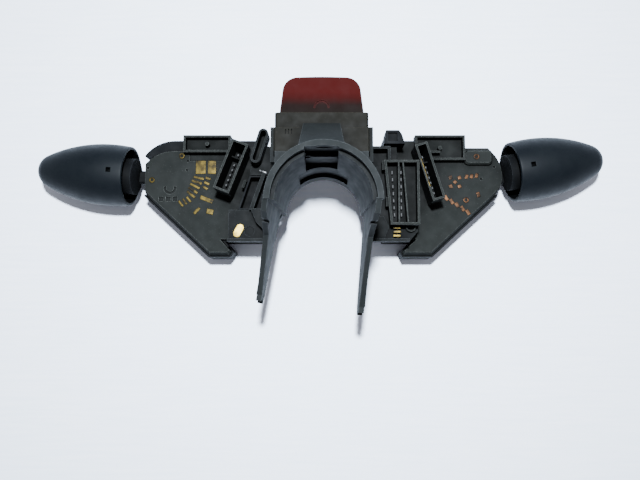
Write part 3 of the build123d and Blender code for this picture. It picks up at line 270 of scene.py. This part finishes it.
def moulded(
    name, dark, light, dust_wear_and_highlight, rough=(0.64, 0.8), shine=0.07, grain=PLASTIC_GRAIN, bore=None, shelf=None
):
    """Moulded plastic: cloudy tone, streaks, dust specks on top, painted shade on side walls and in
    hollows, and worn edges with a painted highlight.

    Within the given radius of the column axis only the faint streaks get darker, as painted shade in the
    bore. Below the given height one darker tone takes the place of the clouds, as painted shade on the
    low parts.
    """
    recipe = Recipe(name)
    recipe.shader.inputs["Specular IOR Level"].default_value = shine
    cloud = recipe.patterned(CLOUDS, dark, light)
    if shelf is not None:
        # Painted shade: below the given height a darker tone takes the place of the clouds.
        low = recipe.calculate("LESS_THAN", recipe.along("Z"), shelf)
        cloud = recipe.mix(low, cloud, shade(light, SHELF_SHADE_SHARE))
    # Painted shade: side walls get faint streaks in their own darker tone.
    wall_and_bore_shade_streak = shade(dark, WALL_STREAK_SHADE_SHARE)
    if bore is not None:
        # Painted shade: within the bore the streaks turn much darker.
        wall_and_bore_shade_streak = recipe.mix(recipe.beyond(bore), shade(dark, BORE_STREAK_SHADE_SHARE), wall_and_bore_shade_streak)
    walls = recipe.mix(recipe.patterned(STREAKS, 0.0, STREAK_STRENGTH), cloud, wall_and_bore_shade_streak)
    dusty = recipe.mix(recipe.patterned(SPECKS, 0.0, SPECK_STRENGTH), cloud, dust_wear_and_highlight)
    faces = recipe.mix(recipe.tops(), walls, dusty)
    # Worn edges and a painted highlight: a lighter rim along the edges.
    edges_worn_and_highlit = recipe.mix(recipe.edges(), faces, dust_wear_and_highlight)
    # Painted shade: hollows get a much darker tone.
    recipe.paint(recipe.mix(recipe.hollows(), edges_worn_and_highlit, shade(dark, HOLLOW_SHADE_SHARE)))
    recipe.roughen(recipe.patterned(PLASTIC_SHEEN, *rough))
    recipe.bump(recipe.noise(grain), PLASTIC_BUMP, GRAIN_DEPTH)
    return recipe.material


def metal(name, dark, light, rough=(0.26, 0.5), metallic=0.9):
    """Stamped strip metal with tarnish and rolling marks."""
    recipe = Recipe(name)
    recipe.shader.inputs["Metallic"].default_value = metallic
    recipe.paint(recipe.patterned(TARNISH, dark, light))
    rolled = recipe.noise(ROLLING)
    recipe.roughen(recipe.fade(rolled, ROLLING.fade, *rough))
    recipe.bump(rolled, METAL_BUMP, GRAIN_DEPTH)
    return recipe.material


def red_lens():
    """Red moulding: deep red at the top of the picture, grey-brown at the end nearer the saddle."""
    recipe = Recipe("red_lens")
    recipe.shader.inputs["Specular IOR Level"].default_value = LENS_SHINE
    drift = recipe.calculate("MULTIPLY", recipe.noise(LENS_DRIFT), LENS_FADE_DRIFT)
    level = recipe.calculate("ADD", recipe.along("Y"), drift)
    past = recipe.calculate("SUBTRACT", level, LENS_FADE_START)
    tone = recipe.ramp(recipe.calculate("MULTIPLY", past, 1.0 / LENS_FADE_LENGTH), LENS_TONES)
    # Worn edges and a painted highlight: a pale pink rim along the edges.
    recipe.paint(recipe.mix(recipe.edges(), tone, LENS_EDGE_WEAR_AND_HIGHLIGHT))
    recipe.roughen(recipe.patterned(LENS_SHEEN, *LENS_ROUGH))
    recipe.bump(recipe.noise(LENS_GRAIN), LENS_BUMP, GRAIN_DEPTH)
    return recipe.material


def floor_paint():
    """White-painted board: faint brush streaks along X."""
    recipe = Recipe("floor_paint")
    streaks = recipe.noise(BRUSHING)
    recipe.paint(recipe.fade(streaks, BRUSHING.fade, *FLOOR_TONES))
    recipe.roughen(recipe.fade(streaks, BRUSHING_SHEEN_FADE, *FLOOR_ROUGH))
    recipe.bump(streaks, FLOOR_BUMP, BRUSHING_DEPTH)
    return recipe.material


# Finishes by the record's material slots
FINISHES = {
    "bracket_plastic": moulded(
        "bracket_plastic",
        dark=(0.0052, 0.0062, 0.0064),
        light=(0.0084, 0.0096, 0.0100),
        dust_wear_and_highlight=(0.05, 0.055, 0.058),
        bore=BORE_EDGE,
        shelf=SHELF_LEVEL,
    ),
    "hazard_plastic": moulded(
        "hazard_plastic",
        dark=(0.0028, 0.0027, 0.0019),
        light=(0.0046, 0.0043, 0.0031),
        dust_wear_and_highlight=(0.022, 0.020, 0.015),
    ),
    "red_lens": red_lens(),
    "plate_plastic": moulded(
        "plate_plastic",
        dark=(0.0046, 0.0056, 0.0052),
        light=(0.0070, 0.0080, 0.0075),
        dust_wear_and_highlight=(0.08, 0.084, 0.081),
    ),
    "case_plastic": moulded(
        "case_plastic",
        dark=(0.0014, 0.0018, 0.0024),
        light=(0.0032, 0.0037, 0.0044),
        dust_wear_and_highlight=(0.020, 0.022, 0.026),
    ),
    "grip_plastic": moulded(
        "grip_plastic",
        dark=(0.0012, 0.0022, 0.0034),
        light=(0.0026, 0.0038, 0.0050),
        dust_wear_and_highlight=(0.006, 0.007, 0.009),
        rough=(0.5, 0.62),
        shine=0.09,
        grain=GRIP_GRAIN,
    ),
    "inner_plastic": moulded(
        "natural_plastic",
        dark=(0.30, 0.27, 0.21),
        light=(0.42, 0.39, 0.32),
        dust_wear_and_highlight=(0.55, 0.52, 0.45),
    ),
    "brass": metal("brass", dark=(0.003, 0.002, 0.0003), light=(0.042, 0.029, 0.0045)),
    "copper": metal("copper", dark=(0.005, 0.0026, 0.0013), light=(0.055, 0.024, 0.010)),
    "steel": metal("steel", dark=(0.03, 0.031, 0.032), light=(0.17, 0.172, 0.175)),
    # Painted shade: this metal is painted far darker than bare tin, as shade on the pins deep in the
    # sockets.
    "dark_metal": metal(
        "dark_metal",
        dark=(0.003, 0.003, 0.0034),
        light=(0.010, 0.010, 0.011),
        rough=(0.5, 0.7),
        metallic=0.4,
    ),
}
# The horn pad is brass like its slot, in a brighter copy of the brass: a painted highlight.
NODE_FINISHES = {
    "horn_pad": metal("brass_with_painted_highlight", dark=(0.10, 0.066, 0.009), light=(0.29, 0.205, 0.036)),
}


def dress_nodes():
    """Gives each CAD node its own finish, or else that of its material slot."""
    slots = {entry["node"]: entry["material_slot"] for entry in frame["record"]["subparts"]}
    for name, node in frame["nodes"].items():
        node.data.materials.clear()
        node.data.materials.append(NODE_FINISHES.get(name, FINISHES[slots[name]]))


dress_nodes()


# Mesh helpers

SHARP_ANGLE = math.radians(32)
TURN_SEGMENTS = 128
ON_AXIS = 1e-7


def finished(bm, name, body, slot):
    """Turns a bmesh into a piece that rides on a body, in the finish of its slot."""
    bmesh.ops.recalc_face_normals(bm, faces=bm.faces)
    mesh = bpy.data.meshes.new(name)
    bm.to_mesh(mesh)
    bm.free()
    mesh.shade_smooth()
    mesh.set_sharp_from_angle(angle=SHARP_ANGLE)
    piece = bpy.data.objects.new(name, mesh)
    bpy.context.scene.collection.objects.link(piece)
    piece.data.materials.append(FINISHES[slot])
    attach(piece, body)
    return piece


def lathe(bm, place, profile):
    """Adds a surface turned round the local Z axis; a profile point is (radius, height)."""
    rings = []
    for radius, height in profile:
        if radius < ON_AXIS:
            rings.append([bm.verts.new(place @ Vector((0, 0, height)))])
            continue
        ring = []
        for index in range(TURN_SEGMENTS):
            angle = 2 * math.pi * index / TURN_SEGMENTS
            corner = Vector((radius * math.cos(angle), radius * math.sin(angle), height))
            ring.append(bm.verts.new(place @ corner))
        rings.append(ring)
    for first, second in zip(rings, rings[1:]):
        for index in range(TURN_SEGMENTS):
            after = (index + 1) % TURN_SEGMENTS
            # A ring on the axis is one point, which its faces then hold once
            corners = (
                first[index % len(first)],
                first[after % len(first)],
                second[after % len(second)],
                second[index % len(second)],
            )
            bm.faces.new(list(dict.fromkeys(corners)))


def strip(bm, sections):
    """Joins sections with the same number of corners into one closed bar."""
    rings = [[bm.verts.new(corner) for corner in section] for section in sections]
    for first, second in zip(rings, rings[1:]):
        for index in range(len(first)):
            after = (index + 1) % len(first)
            bm.faces.new((first[index], first[after], second[after], second[index]))
    bm.faces.new(rings[0])
    bm.faces.new(rings[-1])


# Barrels: smooth grips in place of the solids' short straight runs. Lengths are from the open mouth.

# How far the smooth skin stays inside the solids'
SKIN_INSET = 0.12 * MM
GIRTH_RADIUS = 20.8 * MM - SKIN_INSET
GIRTH_PLACE = 13.9 * MM
SIDE_ARC_RADIUS = 95.6 * MM
NOSE_ARC_RADIUS = 11.8 * MM
BARREL_WALL = 2.0 * MM
HOLLOW_DEPTH = 51.0 * MM
LIP_ROUND = 0.7 * MM
LIP_INNER_EDGE = LIP_ROUND / 2
HUB_PLACES = (24.0 * MM, 44.0 * MM)
HUB_THICKNESS = 2.4 * MM
HUB_BORE = 4.08 * MM
WINDOW_PLACE = 8.2 * MM
WINDOW_SIZE = 3.0 * MM
WINDOW_CUT = 3 * BARREL_WALL
SIDE_STEPS = 40
NOSE_STEPS = 16
LIP_STEPS = 4
BARREL_AXIS_LEVEL = -7.8 * MM
BARREL_DROOP = math.radians(3.0)
# Each mouth's distance from the middle plane, its place along Y, and its barrel's angle off X
BARREL_MOUTHS = {
    "left": (129.1 * MM, 28.1 * MM, math.radians(4.4)),
    "right": (125.6 * MM, 30.9 * MM, math.radians(8.7)),
}
BARREL_BODIES = {"left": "left_grip", "right": "right_stalk"}


def barrel_place(side):
    """Matrix whose Z runs along the barrel and whose Y points to the dash side. The left one mirrors."""
    u, y, angle = BARREL_MOUTHS[side]
    sign = -1 if side == "left" else 1
    level = math.cos(BARREL_DROOP)
    along = Vector((sign * math.cos(angle) * level, math.sin(angle) * level, -math.sin(BARREL_DROOP)))
    across = Vector((-sign * math.sin(angle), math.cos(angle), 0.0))
    up = along.cross(across) * sign
    origin = Vector((sign * u, y, BARREL_AXIS_LEVEL))
    return Matrix.Translation(origin) @ Matrix((across, up, along)).transposed().to_4x4()


def side_radius(place):
    """The skin's radius along its long side arc."""
    return GIRTH_RADIUS - SIDE_ARC_RADIUS + math.sqrt(SIDE_ARC_RADIUS**2 - (place - GIRTH_PLACE) ** 2)


def barrel_profile():
    """Closed section from the nose along the skin, over the lip and back up the hollow."""
    rise = SIDE_ARC_RADIUS - GIRTH_RADIUS
    centre = GIRTH_PLACE + math.sqrt((SIDE_ARC_RADIUS - NOSE_ARC_RADIUS) ** 2 - rise**2)
    join = math.atan2(rise, centre - GIRTH_PLACE)
    join_place = centre + NOSE_ARC_RADIUS * math.cos(join)
    points = []
    for index in range(NOSE_STEPS):
        angle = join * index / NOSE_STEPS
        points.append((NOSE_ARC_RADIUS * math.sin(angle), centre + NOSE_ARC_RADIUS * math.cos(angle)))
    for index in range(SIDE_STEPS + 1):
        place = join_place + (LIP_ROUND - join_place) * index / SIDE_STEPS
        points.append((side_radius(place), place))
    lip_centre = side_radius(LIP_ROUND) - LIP_ROUND
    for index in range(1, LIP_STEPS + 1):
        angle = math.pi / 2 * index / LIP_STEPS
        points.append((lip_centre + LIP_ROUND * math.cos(angle), LIP_ROUND * (1 - math.sin(angle))))
    mouth_inner = side_radius(0.0) - BARREL_WALL
    points.append((mouth_inner + LIP_INNER_EDGE, 0.0))
    points.append((mouth_inner, LIP_INNER_EDGE))
    for index in range(1, SIDE_STEPS + 1):
        place = LIP_INNER_EDGE + (HOLLOW_DEPTH - LIP_INNER_EDGE) * index / SIDE_STEPS
        points.append((min(side_radius(place) - BARREL_WALL, mouth_inner), place))
    points.append((0.0, HOLLOW_DEPTH))
    return points


def hub_profile(start):
    """Closed section of one inner web, from the spindle's bore into the barrel's wall."""
    end = start + HUB_THICKNESS
    radius = side_radius(end) - BARREL_WALL / 2
    return [(HUB_BORE, start), (radius, start), (radius, end), (HUB_BORE, end), (HUB_BORE, start)]


def cut_window(barrel, place):
    """Square latch window through the wall on the dash side."""
    bm = bmesh.new()
    middle = Matrix.Translation(Vector((0.0, GIRTH_RADIUS, WINDOW_PLACE)))
    size = Matrix.Diagonal((WINDOW_SIZE, WINDOW_CUT, WINDOW_SIZE, 1.0))
    bmesh.ops.create_cube(bm, size=1.0, matrix=place @ middle @ size)
    # A mirroring matrix turns the cutter inside out
    bmesh.ops.recalc_face_normals(bm, faces=bm.faces)
    mesh = bpy.data.meshes.new("window_cutter")
    bm.to_mesh(mesh)
    bm.free()
    cutter = bpy.data.objects.new("window_cutter", mesh)
    bpy.context.scene.collection.objects.link(cutter)
    modifier = barrel.modifiers.new("window", "BOOLEAN")
    modifier.operation = "DIFFERENCE"
    modifier.object = cutter
    modifier.solver = "EXACT"
    graph = bpy.context.evaluated_depsgraph_get()
    result = bpy.data.meshes.new_from_object(barrel.evaluated_get(graph))
    barrel.modifiers.clear()
    barrel.data = result
    bpy.data.objects.remove(cutter)


def add_barrel(side):
    """Smooth grip with a latch window, and the two hubs inside it."""
    place = barrel_place(side)
    bm = bmesh.new()
    lathe(bm, place, barrel_profile())
    barrel = finished(bm, side + "_grip_shell", BARREL_BODIES[side], "grip_plastic")
    cut_window(barrel, place)
    bm = bmesh.new()
    for start in HUB_PLACES:
        lathe(bm, place, hub_profile(start))
    finished(bm, side + "_grip_hubs", BARREL_BODIES[side], "grip_plastic")
    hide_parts(side + "_barrel")


for barrel_side in BARREL_MOUTHS:
    add_barrel(barrel_side)


# Small clips that stand on the decks

DECK_TOP = 3.0 * MM
# The tab's middle line in millimetres: X, Y and height over the deck
TAB_PATH = (
    (-42.2, 30.1, 0.25),
    (-40.9, 29.6, 0.25),
    (-40.2, 29.3, 1.2),
    (-37.9, 28.4, 1.4),
    (-37.0, 28.1, 1.0),
)
TAB_WIDTH = 1.1 * MM
TAB_THICKNESS = 0.5 * MM
TAB_EDGE = 0.08 * MM
TAB_EDGE_SEGMENTS = 2
CATCH_CENTRE = (56.3 * MM, -7.2 * MM)
CATCH_RADIUS = 3.4 * MM
CATCH_WALL = 0.8 * MM
CATCH_HEIGHT = 2.6 * MM
CATCH_SINK = 0.1 * MM
CATCH_STEPS = 18


def add_contact_tab():
    """Bent spring tab on the left deck, beside the saddle."""
    path = [Vector((x * MM, y * MM, DECK_TOP + z * MM)) for x, y, z in TAB_PATH]
    run = path[-1] - path[0]
    across = Vector((-run.y, run.x, 0.0)).normalized() * TAB_WIDTH / 2
    up = Vector((0.0, 0.0, TAB_THICKNESS / 2))
    sections = [
        (point - across - up, point + across - up, point + across + up, point - across + up)
        for point in path
    ]
    bm = bmesh.new()
    strip(bm, sections)
    bmesh.ops.bevel(
        bm,
        geom=list(bm.edges),
        offset=TAB_EDGE,
        segments=TAB_EDGE_SEGMENTS,
        affect="EDGES",
        profile=0.5,
        clamp_overlap=True,
    )
    finished(bm, "left_contact_tab", "base", "steel")


def add_plug_catch():
    """Curved catch on the right deck, below the main connector and let a little into the deck."""
    centre = Vector((*CATCH_CENTRE, 0.0))
    low = Vector((0.0, 0.0, DECK_TOP - CATCH_SINK))
    high = Vector((0.0, 0.0, DECK_TOP + CATCH_HEIGHT))
    sections = []
    for index in range(CATCH_STEPS + 1):
        angle = math.pi * (1 + index / CATCH_STEPS)
        outward = Vector((math.cos(angle), math.sin(angle), 0.0))
        outer = centre + outward * CATCH_RADIUS
        inner = centre + outward * (CATCH_RADIUS - CATCH_WALL)
        sections.append((outer + low, outer + high, inner + high, inner + low))
    bm = bmesh.new()
    strip(bm, sections)
    finished(bm, "right_plug_catch", "base", "plate_plastic")


add_contact_tab()
add_plug_catch()


# Camera, floor and light

PHOTO_WIDTH = 640.0
FOCAL_PX = 640.0
SENSOR_WIDTH = 36.0
CAMERA_PLACE = (0.0, -0.0555, 0.416)
CAMERA_TILT = math.radians(5.5)
CAMERA_SHIFT_PX = 3.7
NEAR_CLIP = 0.01
# Just under the cases, so that the floor shares no plane with them
FLOOR_LEVEL = -30.2 * MM
FLOOR_SIZE = 3.0
FLOOR_CELLS = 8
KEY_PLACE = Vector((0.0, 0.11, 0.6))
KEY_AIM = Vector((0.0, 0.0, 0.0))
KEY_SIZE = 0.045
KEY_POWER = 23.0
KEY_COLOUR = (0.86, 0.93, 1.0)
WORLD_STRENGTH = 0.44
WORLD_COLOUR = (0.97, 0.95, 1.0, 1.0)


def add_camera():
    data = bpy.data.cameras.new("camera")
    data.sensor_width = SENSOR_WIDTH
    data.lens = SENSOR_WIDTH * FOCAL_PX / PHOTO_WIDTH
    data.shift_x = -CAMERA_SHIFT_PX / PHOTO_WIDTH
    data.clip_start = NEAR_CLIP
    camera = bpy.data.objects.new("camera", data)
    camera.location = CAMERA_PLACE
    camera.rotation_euler = (CAMERA_TILT, 0.0, 0.0)
    bpy.context.scene.collection.objects.link(camera)
    bpy.context.scene.camera = camera


def add_floor():
    bpy.ops.mesh.primitive_grid_add(
        x_subdivisions=FLOOR_CELLS,
        y_subdivisions=FLOOR_CELLS,
        size=FLOOR_SIZE,
        location=(0, 0, FLOOR_LEVEL),
    )
    floor = bpy.context.object
    floor.name = "floor"
    floor.data.materials.append(floor_paint())


def add_key():
    """Small round lamp, over the hazard button's side of the object and aimed at the origin."""
    data = bpy.data.lights.new("key", "AREA")
    data.shape = "DISK"
    data.size = KEY_SIZE
    data.energy = KEY_POWER
    data.color = KEY_COLOUR
    lamp = bpy.data.objects.new("key", data)
    lamp.location = KEY_PLACE
    lamp.rotation_euler = (KEY_AIM - KEY_PLACE).to_track_quat("-Z", "Y").to_euler()
    bpy.context.scene.collection.objects.link(lamp)


def add_world():
    world = bpy.data.worlds.new("studio")
    world.use_nodes = True
    background = world.node_tree.nodes["Background"]
    background.inputs["Color"].default_value = WORLD_COLOUR
    background.inputs["Strength"].default_value = WORLD_STRENGTH
    bpy.context.scene.world = world


add_camera()
add_floor()
add_key()
add_world()
